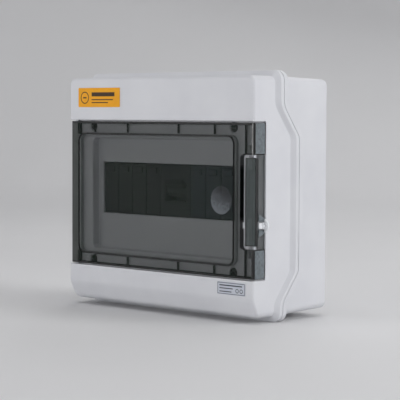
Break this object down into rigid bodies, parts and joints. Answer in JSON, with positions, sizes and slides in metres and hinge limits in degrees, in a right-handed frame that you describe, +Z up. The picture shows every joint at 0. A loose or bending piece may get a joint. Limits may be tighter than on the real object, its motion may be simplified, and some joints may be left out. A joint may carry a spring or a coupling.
{
  "type": "dc combiner box",
  "caption": "Wall-mounted DC combiner box: grey moulded cover and base, smoked hinged door with flip latch, fuses, breaker and surge protector on a rail.",
  "frame": {"origin": "centre of the flat back face that goes against the wall", "axes": "+X to the right of someone facing the door, +Y through the back into the wall, +Z up"},
  "size_m": [0.2336, 0.097, 0.21],
  "materials": {
    "shell_plastic": "satin, fine moulded texture",
    "smoked_door": "clear smoked polycarbonate, polished",
    "seal_rubber": "matt",
    "white_plastic": "satin gloss",
    "device_plastic": "fine spark texture",
    "carrier_plastic": "fine spark texture",
    "surge_plastic": "fine spark texture",
    "fuse_ceramic": "glazed ceramic",
    "zinc_steel": "bright zinc plate",
    "black_steel": "black passivated",
    "brass": "turned",
    "copper": "rolled copper",
    "wire_red": "drawn PVC insulation",
    "wire_black": "drawn PVC insulation",
    "wire_green": "drawn PVC insulation",
    "amber_film": "vinyl film",
    "silver_film": "metallised film"
  },
  "bodies": {
    "enclosure": {"base_shell": "shell_plastic", "front_cover": "shell_plastic", "parting_gasket": "seal_rubber", "hinge_pin_upper": "zinc_steel", "hinge_pin_lower": "zinc_steel", "seal_lug": "white_plastic", "cover_screw_1": "black_steel", "cover_screw_2": "black_steel", "cover_screw_3": "black_steel", "cover_screw_4": "black_steel", "wall_plug_1": "shell_plastic", "wall_plug_2": "shell_plastic", "wall_plug_3": "shell_plastic", "wall_plug_4": "shell_plastic", "din_rail": "zinc_steel", "rail_screw_left": "zinc_steel", "rail_screw_right": "zinc_steel", "fuse_holder_1": "device_plastic", "fuse_carrier_1": "carrier_plastic", "fuse_link_1": "fuse_ceramic", "fuse_holder_2": "device_plastic", "fuse_carrier_2": "carrier_plastic", "fuse_link_2": "fuse_ceramic", "fuse_holder_3": "device_plastic", "fuse_carrier_3": "carrier_plastic", "fuse_link_3": "fuse_ceramic", "fuse_holder_4": "device_plastic", "fuse_carrier_4": "carrier_plastic", "fuse_link_4": "fuse_ceramic", "breaker_body": "device_plastic", "surge_base": "device_plastic", "surge_module_1": "surge_plastic", "surge_module_2": "surge_plastic", "surge_module_3": "surge_plastic", "positive_comb": "copper", "negative_comb": "copper", "positive_feed_wire": "wire_red", "negative_feed_wire": "wire_black", "surge_positive_wire": "wire_red", "surge_negative_wire": "wire_black", "surge_earth_wire": "wire_green", "earth_bar": "brass", "earth_bar_stand": "device_plastic", "earth_screw_1": "zinc_steel", "earth_screw_2": "zinc_steel", "earth_screw_3": "zinc_steel", "earth_screw_4": "zinc_steel", "amber_label": "amber_film", "rating_label": "silver_film"},
    "door": {"door": "smoked_door", "door_gasket": "seal_rubber", "latch_pin": "zinc_steel"},
    "latch": {"latch_lever": "smoked_door"},
    "toggle": {"breaker_toggle": "carrier_plastic"}
  },
  "joints": [
    {"name": "door_hinge", "type": "hinge", "parent": "enclosure", "child": "door", "pos_m": [-0.1074, -0.0912, -0.00285], "axis": [0, 0, -1], "range_deg": [0, 115]},
    {"name": "latch_flip", "type": "hinge", "parent": "door", "child": "latch", "pos_m": [0.1103, -0.092, -0.0036], "axis": [0, 0, 1], "range_deg": [0, 65]},
    {"name": "toggle_switch", "type": "hinge", "parent": "enclosure", "child": "toggle", "pos_m": [0.009, -0.0751, 0.002], "axis": [1, 0, 0], "range_deg": [0, 80]}
  ]
}
